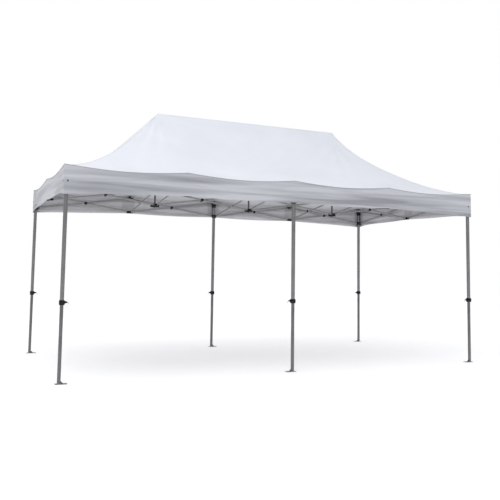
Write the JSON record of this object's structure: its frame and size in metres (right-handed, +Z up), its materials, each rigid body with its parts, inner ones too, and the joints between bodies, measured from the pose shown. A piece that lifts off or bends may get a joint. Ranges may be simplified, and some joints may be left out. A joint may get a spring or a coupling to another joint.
{
  "type": "pop up canopy",
  "caption": "Folding pop up canopy: telescopic hexagonal legs, scissor truss frame, centre poles and a white hipped fabric roof with a hanging valance.",
  "frame": {"origin": "on the ground under the middle of the roof", "axes": "+X along the long side, +Y from the front row of legs to the back row, +Z up"},
  "size_m": [6.09, 3.08, 3.612],
  "materials": {
    "leg_tube": "satin",
    "truss_bar": "satin",
    "black_plastic": "matte",
    "cover_fabric": "matte"
  },
  "bodies": {
    "leg_front_left": {"upper_leg_front_left": "leg_tube"},
    "foot_front_left": {"lower_leg_front_left": "leg_tube"},
    "slider_front_left": {"slider_front_left": "black_plastic"},
    "leg_front_middle": {"upper_leg_front_middle": "leg_tube"},
    "foot_front_middle": {"lower_leg_front_middle": "leg_tube"},
    "slider_front_middle": {"slider_front_middle": "black_plastic"},
    "leg_front_right": {"upper_leg_front_right": "leg_tube"},
    "foot_front_right": {"lower_leg_front_right": "leg_tube"},
    "slider_front_right": {"slider_front_right": "black_plastic"},
    "leg_back_left": {"upper_leg_back_left": "leg_tube"},
    "foot_back_left": {"lower_leg_back_left": "leg_tube"},
    "slider_back_left": {"slider_back_left": "black_plastic"},
    "leg_back_middle": {"upper_leg_back_middle": "leg_tube"},
    "foot_back_middle": {"lower_leg_back_middle": "leg_tube"},
    "slider_back_middle": {"slider_back_middle": "black_plastic"},
    "leg_back_right": {"upper_leg_back_right": "leg_tube"},
    "foot_back_right": {"lower_leg_back_right": "leg_tube"},
    "slider_back_right": {"slider_back_right": "black_plastic"},
    "bar_front_right_1_fall": {"bar_front_right_1_fall": "truss_bar"},
    "bar_front_right_1_rise": {"bar_front_right_1_rise": "truss_bar"},
    "bar_front_right_2_fall": {"bar_front_right_2_fall": "truss_bar"},
    "bar_front_right_2_rise": {"bar_front_right_2_rise": "truss_bar"},
    "bar_front_left_1_fall": {"bar_front_left_1_fall": "truss_bar"},
    "bar_front_left_1_rise": {"bar_front_left_1_rise": "truss_bar"},
    "bar_front_left_2_fall": {"bar_front_left_2_fall": "truss_bar"},
    "bar_front_left_2_rise": {"bar_front_left_2_rise": "truss_bar"},
    "bar_back_right_1_fall": {"bar_back_right_1_fall": "truss_bar"},
    "bar_back_right_1_rise": {"bar_back_right_1_rise": "truss_bar"},
    "bar_back_right_2_fall": {"bar_back_right_2_fall": "truss_bar"},
    "bar_back_right_2_rise": {"bar_back_right_2_rise": "truss_bar"},
    "bar_back_left_1_fall": {"bar_back_left_1_fall": "truss_bar"},
    "bar_back_left_1_rise": {"bar_back_left_1_rise": "truss_bar"},
    "bar_back_left_2_fall": {"bar_back_left_2_fall": "truss_bar"},
    "bar_back_left_2_rise": {"bar_back_left_2_rise": "truss_bar"},
    "bar_end_left_1_fall": {"bar_end_left_1_fall": "truss_bar"},
    "bar_end_left_1_rise": {"bar_end_left_1_rise": "truss_bar"},
    "bar_end_left_2_fall": {"bar_end_left_2_fall": "truss_bar"},
    "bar_end_left_2_rise": {"bar_end_left_2_rise": "truss_bar"},
    "bar_end_right_1_fall": {"bar_end_right_1_fall": "truss_bar"},
    "bar_end_right_1_rise": {"bar_end_right_1_rise": "truss_bar"},
    "bar_end_right_2_fall": {"bar_end_right_2_fall": "truss_bar"},
    "bar_end_right_2_rise": {"bar_end_right_2_rise": "truss_bar"},
    "bar_cross_1_fall": {"bar_cross_1_fall": "truss_bar"},
    "bar_cross_1_rise": {"bar_cross_1_rise": "truss_bar"},
    "bar_cross_2_fall": {"bar_cross_2_fall": "truss_bar"},
    "bar_cross_2_rise": {"bar_cross_2_rise": "truss_bar"},
    "bar_ridge_right_1_fall": {"bar_ridge_right_1_fall": "truss_bar"},
    "bar_ridge_right_1_rise": {"bar_ridge_right_1_rise": "truss_bar"},
    "bar_ridge_left_1_fall": {"bar_ridge_left_1_fall": "truss_bar"},
    "bar_ridge_left_1_rise": {"bar_ridge_left_1_rise": "truss_bar"},
    "hub_left": {"hub_left": "black_plastic"},
    "collar_left": {"collar_left": "black_plastic"},
    "hub_middle": {"hub_middle": "black_plastic"},
    "collar_middle": {"collar_middle": "black_plastic"},
    "hub_right": {"hub_right": "black_plastic"},
    "collar_right": {"collar_right": "black_plastic"},
    "roof_front": {"roof_front": "cover_fabric"},
    "roof_back": {"roof_back": "cover_fabric"},
    "roof_left": {"roof_left": "cover_fabric"},
    "roof_right": {"roof_right": "cover_fabric"}
  },
  "joints": [
    {"name": "frame_fold", "type": "hinge", "parent": "leg_front_middle", "child": "bar_front_right_1_fall", "pos_m": [0.05, -1.5, 2.475], "axis": [0, 1, 0], "range_deg": [0, 77]},
    {"name": "cross_pin_front_right_1", "type": "hinge", "parent": "bar_front_right_1_fall", "child": "bar_front_right_1_rise", "pos_m": [0.775, -1.5, 2.364], "axis": [0, 1, 0], "range_deg": [-154.5, 0]},
    {"name": "slider_pin_front_middle", "type": "hinge", "parent": "bar_front_right_1_rise", "child": "slider_front_middle", "pos_m": [0.05, -1.5, 2.253], "axis": [0, 1, 0], "range_deg": [0, 77.5]},
    {"name": "low_pin_front_right_2", "type": "hinge", "parent": "bar_front_right_1_fall", "child": "bar_front_right_2_rise", "pos_m": [1.5, -1.5, 2.253], "axis": [0, 1, 0], "range_deg": [-154.5, 0]},
    {"name": "top_pin_front_right_2", "type": "hinge", "parent": "bar_front_right_1_rise", "child": "bar_front_right_2_fall", "pos_m": [1.5, -1.5, 2.475], "axis": [0, 1, 0], "range_deg": [0, 154.5]},
    {"name": "leg_pin_front_right", "type": "hinge", "parent": "bar_front_right_2_rise", "child": "leg_front_right", "pos_m": [2.95, -1.5, 2.475], "axis": [0, 1, 0], "range_deg": [0, 77.5]},
    {"name": "slider_pin_front_right", "type": "hinge", "parent": "bar_front_right_2_fall", "child": "slider_front_right", "pos_m": [2.95, -1.5, 2.253], "axis": [0, 1, 0], "range_deg": [-77.5, 0]},
    {"name": "top_pin_front_left_1", "type": "hinge", "parent": "leg_front_middle", "child": "bar_front_left_1_fall", "pos_m": [-0.05, -1.5, 2.475], "axis": [0, -1, 0], "range_deg": [0, 77.5]},
    {"name": "cross_pin_front_left_1", "type": "hinge", "parent": "bar_front_left_1_fall", "child": "bar_front_left_1_rise", "pos_m": [-0.775, -1.5, 2.364], "axis": [0, -1, 0], "range_deg": [-154.5, 0]},
    {"name": "low_pin_front_left_2", "type": "hinge", "parent": "bar_front_left_1_fall", "child": "bar_front_left_2_rise", "pos_m": [-1.5, -1.5, 2.253], "axis": [0, -1, 0], "range_deg": [-154.5, 0]},
    {"name": "top_pin_front_left_2", "type": "hinge", "parent": "bar_front_left_1_rise", "child": "bar_front_left_2_fall", "pos_m": [-1.5, -1.5, 2.475], "axis": [0, -1, 0], "range_deg": [0, 154.5]},
    {"name": "leg_pin_front_left", "type": "hinge", "parent": "bar_front_left_2_rise", "child": "leg_front_left", "pos_m": [-2.95, -1.5, 2.475], "axis": [0, -1, 0], "range_deg": [0, 77.5]},
    {"name": "slider_pin_front_left", "type": "hinge", "parent": "bar_front_left_2_fall", "child": "slider_front_left", "pos_m": [-2.95, -1.5, 2.253], "axis": [0, -1, 0], "range_deg": [-77.5, 0]},
    {"name": "top_pin_cross_1", "type": "hinge", "parent": "leg_front_middle", "child": "bar_cross_1_fall", "pos_m": [0, -1.45, 2.475], "axis": [-1, 0, 0], "range_deg": [0, 77.5]},
    {"name": "cross_pin_cross_1", "type": "hinge", "parent": "bar_cross_1_fall", "child": "bar_cross_1_rise", "pos_m": [0, -0.725, 2.364], "axis": [-1, 0, 0], "range_deg": [-154.5, 0]},
    {"name": "hub_pin_middle", "type": "hinge", "parent": "bar_cross_1_fall", "child": "hub_middle", "pos_m": [0, 0, 2.253], "axis": [-1, 0, 0], "range_deg": [-77.5, 0]},
    {"name": "collar_pin_middle", "type": "hinge", "parent": "bar_cross_1_rise", "child": "collar_middle", "pos_m": [0, 0, 2.475], "axis": [-1, 0, 0], "range_deg": [0, 77.5]},
    {"name": "low_pin_cross_2", "type": "hinge", "parent": "bar_cross_1_fall", "child": "bar_cross_2_rise", "pos_m": [0, 0, 2.253], "axis": [-1, 0, 0], "range_deg": [-154.5, 0]},
    {"name": "top_pin_cross_2", "type": "hinge", "parent": "bar_cross_1_rise", "child": "bar_cross_2_fall", "pos_m": [0, 0, 2.475], "axis": [-1, 0, 0], "range_deg": [0, 154.5]},
    {"name": "leg_pin_back_middle", "type": "hinge", "parent": "bar_cross_2_rise", "child": "leg_back_middle", "pos_m": [0, 1.45, 2.475], "axis": [-1, 0, 0], "range_deg": [0, 77.5]},
    {"name": "slider_pin_back_middle", "type": "hinge", "parent": "bar_cross_2_fall", "child": "slider_back_middle", "pos_m": [0, 1.45, 2.253], "axis": [-1, 0, 0], "range_deg": [-77.5, 0]},
    {"name": "top_pin_back_right_1", "type": "hinge", "parent": "leg_back_middle", "child": "bar_back_right_1_fall", "pos_m": [0.05, 1.5, 2.475], "axis": [0, 1, 0], "range_deg": [0, 77.5]},
    {"name": "cross_pin_back_right_1", "type": "hinge", "parent": "bar_back_right_1_fall", "child": "bar_back_right_1_rise", "pos_m": [0.775, 1.5, 2.364], "axis": [0, 1, 0], "range_deg": [-154.5, 0]},
    {"name": "low_pin_back_right_2", "type": "hinge", "parent": "bar_back_right_1_fall", "child": "bar_back_right_2_rise", "pos_m": [1.5, 1.5, 2.253], "axis": [0, 1, 0], "range_deg": [-154.5, 0]},
    {"name": "top_pin_back_right_2", "type": "hinge", "parent": "bar_back_right_1_rise", "child": "bar_back_right_2_fall", "pos_m": [1.5, 1.5, 2.475], "axis": [0, 1, 0], "range_deg": [0, 154.5]},
    {"name": "leg_pin_back_right", "type": "hinge", "parent": "bar_back_right_2_rise", "child": "leg_back_right", "pos_m": [2.95, 1.5, 2.475], "axis": [0, 1, 0], "range_deg": [0, 77.5]},
    {"name": "slider_pin_back_right", "type": "hinge", "parent": "bar_back_right_2_fall", "child": "slider_back_right", "pos_m": [2.95, 1.5, 2.253], "axis": [0, 1, 0], "range_deg": [-77.5, 0]},
    {"name": "top_pin_back_left_1", "type": "hinge", "parent": "leg_back_middle", "child": "bar_back_left_1_fall", "pos_m": [-0.05, 1.5, 2.475], "axis": [0, -1, 0], "range_deg": [0, 77.5]},
    {"name": "cross_pin_back_left_1", "type": "hinge", "parent": "bar_back_left_1_fall", "child": "bar_back_left_1_rise", "pos_m": [-0.775, 1.5, 2.364], "axis": [0, -1, 0], "range_deg": [-154.5, 0]},
    {"name": "low_pin_back_left_2", "type": "hinge", "parent": "bar_back_left_1_fall", "child": "bar_back_left_2_rise", "pos_m": [-1.5, 1.5, 2.253], "axis": [0, -1, 0], "range_deg": [-154.5, 0]},
    {"name": "top_pin_back_left_2", "type": "hinge", "parent": "bar_back_left_1_rise", "child": "bar_back_left_2_fall", "pos_m": [-1.5, 1.5, 2.475], "axis": [0, -1, 0], "range_deg": [0, 154.5]},
    {"name": "leg_pin_back_left", "type": "hinge", "parent": "bar_back_left_2_rise", "child": "leg_back_left", "pos_m": [-2.95, 1.5, 2.475], "axis": [0, -1, 0], "range_deg": [0, 77.5]},
    {"name": "slider_pin_back_left", "type": "hinge", "parent": "bar_back_left_2_fall", "child": "slider_back_left", "pos_m": [-2.95, 1.5, 2.253], "axis": [0, -1, 0], "range_deg": [-77.5, 0]},
    {"name": "top_pin_end_left_1", "type": "hinge", "parent": "leg_front_left", "child": "bar_end_left_1_fall", "pos_m": [-3, -1.45, 2.475], "axis": [-1, 0, 0], "range_deg": [0, 77.5]},
    {"name": "cross_pin_end_left_1", "type": "hinge", "parent": "bar_end_left_1_fall", "child": "bar_end_left_1_rise", "pos_m": [-3, -0.725, 2.364], "axis": [-1, 0, 0], "range_deg": [-154.5, 0]},
    {"name": "low_pin_end_left_2", "type": "hinge", "parent": "bar_end_left_1_fall", "child": "bar_end_left_2_rise", "pos_m": [-3, 0, 2.253], "axis": [-1, 0, 0], "range_deg": [-154.5, 0]},
    {"name": "top_pin_end_left_2", "type": "hinge", "parent": "bar_end_left_1_rise", "child": "bar_end_left_2_fall", "pos_m": [-3, 0, 2.475], "axis": [-1, 0, 0], "range_deg": [0, 154.5]},
    {"name": "top_pin_ridge_left_1", "type": "hinge", "parent": "collar_middle", "child": "bar_ridge_left_1_fall", "pos_m": [-0.05, 0, 2.475], "axis": [0, -1, 0], "range_deg": [0, 77.5]},
    {"name": "cross_pin_ridge_left_1", "type": "hinge", "parent": "bar_ridge_left_1_fall", "child": "bar_ridge_left_1_rise", "pos_m": [-0.775, 0, 2.364], "axis": [0, -1, 0], "range_deg": [-154.5, 0]},
    {"name": "hub_pin_left", "type": "hinge", "parent": "bar_ridge_left_1_fall", "child": "hub_left", "pos_m": [-1.5, 0, 2.253], "axis": [0, -1, 0], "range_deg": [-77.5, 0]},
    {"name": "collar_pin_left", "type": "hinge", "parent": "bar_ridge_left_1_rise", "child": "collar_left", "pos_m": [-1.5, 0, 2.475], "axis": [0, -1, 0], "range_deg": [0, 77.5]},
    {"name": "top_pin_end_right_1", "type": "hinge", "parent": "leg_front_right", "child": "bar_end_right_1_fall", "pos_m": [3, -1.45, 2.475], "axis": [-1, 0, 0], "range_deg": [0, 77.5]},
    {"name": "cross_pin_end_right_1", "type": "hinge", "parent": "bar_end_right_1_fall", "child": "bar_end_right_1_rise", "pos_m": [3, -0.725, 2.364], "axis": [-1, 0, 0], "range_deg": [-154.5, 0]},
    {"name": "low_pin_end_right_2", "type": "hinge", "parent": "bar_end_right_1_fall", "child": "bar_end_right_2_rise", "pos_m": [3, 0, 2.253], "axis": [-1, 0, 0], "range_deg": [-154.5, 0]},
    {"name": "top_pin_end_right_2", "type": "hinge", "parent": "bar_end_right_1_rise", "child": "bar_end_right_2_fall", "pos_m": [3, 0, 2.475], "axis": [-1, 0, 0], "range_deg": [0, 154.5]},
    {"name": "top_pin_ridge_right_1", "type": "hinge", "parent": "collar_middle", "child": "bar_ridge_right_1_fall", "pos_m": [0.05, 0, 2.475], "axis": [0, 1, 0], "range_deg": [0, 77.5]},
    {"name": "cross_pin_ridge_right_1", "type": "hinge", "parent": "bar_ridge_right_1_fall", "child": "bar_ridge_right_1_rise", "pos_m": [0.775, 0, 2.364], "axis": [0, 1, 0], "range_deg": [-154.5, 0]},
    {"name": "hub_pin_right", "type": "hinge", "parent": "bar_ridge_right_1_fall", "child": "hub_right", "pos_m": [1.5, 0, 2.253], "axis": [0, 1, 0], "range_deg": [-77.5, 0]},
    {"name": "collar_pin_right", "type": "hinge", "parent": "bar_ridge_right_1_rise", "child": "collar_right", "pos_m": [1.5, 0, 2.475], "axis": [0, 1, 0], "range_deg": [0, 77.5]},
    {"name": "roof_front_drop", "type": "hinge", "parent": "leg_front_middle", "child": "roof_front", "pos_m": [0, -1.466, 2.536], "axis": [-1, 0, 0], "range_deg": [0, 122.8], "deforming": ["roof_front"]},
    {"name": "roof_back_drop", "type": "hinge", "parent": "leg_back_middle", "child": "roof_back", "pos_m": [0, 1.466, 2.536], "axis": [1, 0, 0], "range_deg": [0, 122.8], "deforming": ["roof_back"]},
    {"name": "roof_left_drop", "type": "hinge", "parent": "leg_front_left", "child": "roof_left", "pos_m": [-2.966, 0, 2.536], "axis": [0, 1, 0], "range_deg": [0, 122.8], "deforming": ["roof_left"]},
    {"name": "roof_right_drop", "type": "hinge", "parent": "leg_front_right", "child": "roof_right", "pos_m": [2.966, 0, 2.536], "axis": [0, -1, 0], "range_deg": [0, 122.8], "deforming": ["roof_right"]},
    {"name": "leg_length_front_left", "type": "slide", "parent": "leg_front_left", "child": "foot_front_left", "axis": [0, 0, 1], "range_m": [0, 0.8]},
    {"name": "leg_length_front_middle", "type": "slide", "parent": "leg_front_middle", "child": "foot_front_middle", "axis": [0, 0, 1], "range_m": [0, 0.8]},
    {"name": "leg_length_front_right", "type": "slide", "parent": "leg_front_right", "child": "foot_front_right", "axis": [0, 0, 1], "range_m": [0, 0.8]},
    {"name": "leg_length_back_left", "type": "slide", "parent": "leg_back_left", "child": "foot_back_left", "axis": [0, 0, 1], "range_m": [0, 0.8]},
    {"name": "leg_length_back_middle", "type": "slide", "parent": "leg_back_middle", "child": "foot_back_middle", "axis": [0, 0, 1], "range_m": [0, 0.8]},
    {"name": "leg_length_back_right", "type": "slide", "parent": "leg_back_right", "child": "foot_back_right", "axis": [0, 0, 1], "range_m": [0, 0.8]}
  ],
  "couplings": [
    {"joint": "cross_pin_front_right_1", "follows": "frame_fold", "ratio": -2},
    {"joint": "slider_pin_front_middle", "follows": "frame_fold", "ratio": 1},
    {"joint": "low_pin_front_right_2", "follows": "frame_fold", "ratio": -2},
    {"joint": "top_pin_front_right_2", "follows": "frame_fold", "ratio": 2},
    {"joint": "leg_pin_front_right", "follows": "frame_fold", "ratio": 1},
    {"joint": "slider_pin_front_right", "follows": "frame_fold", "ratio": -1},
    {"joint": "top_pin_front_left_1", "follows": "frame_fold", "ratio": 1},
    {"joint": "cross_pin_front_left_1", "follows": "frame_fold", "ratio": -2},
    {"joint": "low_pin_front_left_2", "follows": "frame_fold", "ratio": -2},
    {"joint": "top_pin_front_left_2", "follows": "frame_fold", "ratio": 2},
    {"joint": "leg_pin_front_left", "follows": "frame_fold", "ratio": 1},
    {"joint": "slider_pin_front_left", "follows": "frame_fold", "ratio": -1},
    {"joint": "top_pin_cross_1", "follows": "frame_fold", "ratio": 1},
    {"joint": "cross_pin_cross_1", "follows": "frame_fold", "ratio": -2},
    {"joint": "hub_pin_middle", "follows": "frame_fold", "ratio": -1},
    {"joint": "collar_pin_middle", "follows": "frame_fold", "ratio": 1},
    {"joint": "low_pin_cross_2", "follows": "frame_fold", "ratio": -2},
    {"joint": "top_pin_cross_2", "follows": "frame_fold", "ratio": 2},
    {"joint": "leg_pin_back_middle", "follows": "frame_fold", "ratio": 1},
    {"joint": "slider_pin_back_middle", "follows": "frame_fold", "ratio": -1},
    {"joint": "top_pin_back_right_1", "follows": "frame_fold", "ratio": 1},
    {"joint": "cross_pin_back_right_1", "follows": "frame_fold", "ratio": -2},
    {"joint": "low_pin_back_right_2", "follows": "frame_fold", "ratio": -2},
    {"joint": "top_pin_back_right_2", "follows": "frame_fold", "ratio": 2},
    {"joint": "leg_pin_back_right", "follows": "frame_fold", "ratio": 1},
    {"joint": "slider_pin_back_right", "follows": "frame_fold", "ratio": -1},
    {"joint": "top_pin_back_left_1", "follows": "frame_fold", "ratio": 1},
    {"joint": "cross_pin_back_left_1", "follows": "frame_fold", "ratio": -2},
    {"joint": "low_pin_back_left_2", "follows": "frame_fold", "ratio": -2},
    {"joint": "top_pin_back_left_2", "follows": "frame_fold", "ratio": 2},
    {"joint": "leg_pin_back_left", "follows": "frame_fold", "ratio": 1},
    {"joint": "slider_pin_back_left", "follows": "frame_fold", "ratio": -1},
    {"joint": "top_pin_end_left_1", "follows": "frame_fold", "ratio": 1},
    {"joint": "cross_pin_end_left_1", "follows": "frame_fold", "ratio": -2},
    {"joint": "low_pin_end_left_2", "follows": "frame_fold", "ratio": -2},
    {"joint": "top_pin_end_left_2", "follows": "frame_fold", "ratio": 2},
    {"joint": "top_pin_ridge_left_1", "follows": "frame_fold", "ratio": 1},
    {"joint": "cross_pin_ridge_left_1", "follows": "frame_fold", "ratio": -2},
    {"joint": "hub_pin_left", "follows": "frame_fold", "ratio": -1},
    {"joint": "collar_pin_left", "follows": "frame_fold", "ratio": 1},
    {"joint": "top_pin_end_right_1", "follows": "frame_fold", "ratio": 1},
    {"joint": "cross_pin_end_right_1", "follows": "frame_fold", "ratio": -2},
    {"joint": "low_pin_end_right_2", "follows": "frame_fold", "ratio": -2},
    {"joint": "top_pin_end_right_2", "follows": "frame_fold", "ratio": 2},
    {"joint": "top_pin_ridge_right_1", "follows": "frame_fold", "ratio": 1},
    {"joint": "cross_pin_ridge_right_1", "follows": "frame_fold", "ratio": -2},
    {"joint": "hub_pin_right", "follows": "frame_fold", "ratio": -1},
    {"joint": "collar_pin_right", "follows": "frame_fold", "ratio": 1},
    {"joint": "roof_front_drop", "follows": "frame_fold", "ratio": 1.5883},
    {"joint": "roof_back_drop", "follows": "frame_fold", "ratio": 1.5883},
    {"joint": "roof_left_drop", "follows": "frame_fold", "ratio": 1.5883},
    {"joint": "roof_right_drop", "follows": "frame_fold", "ratio": 1.5883}
  ]
}
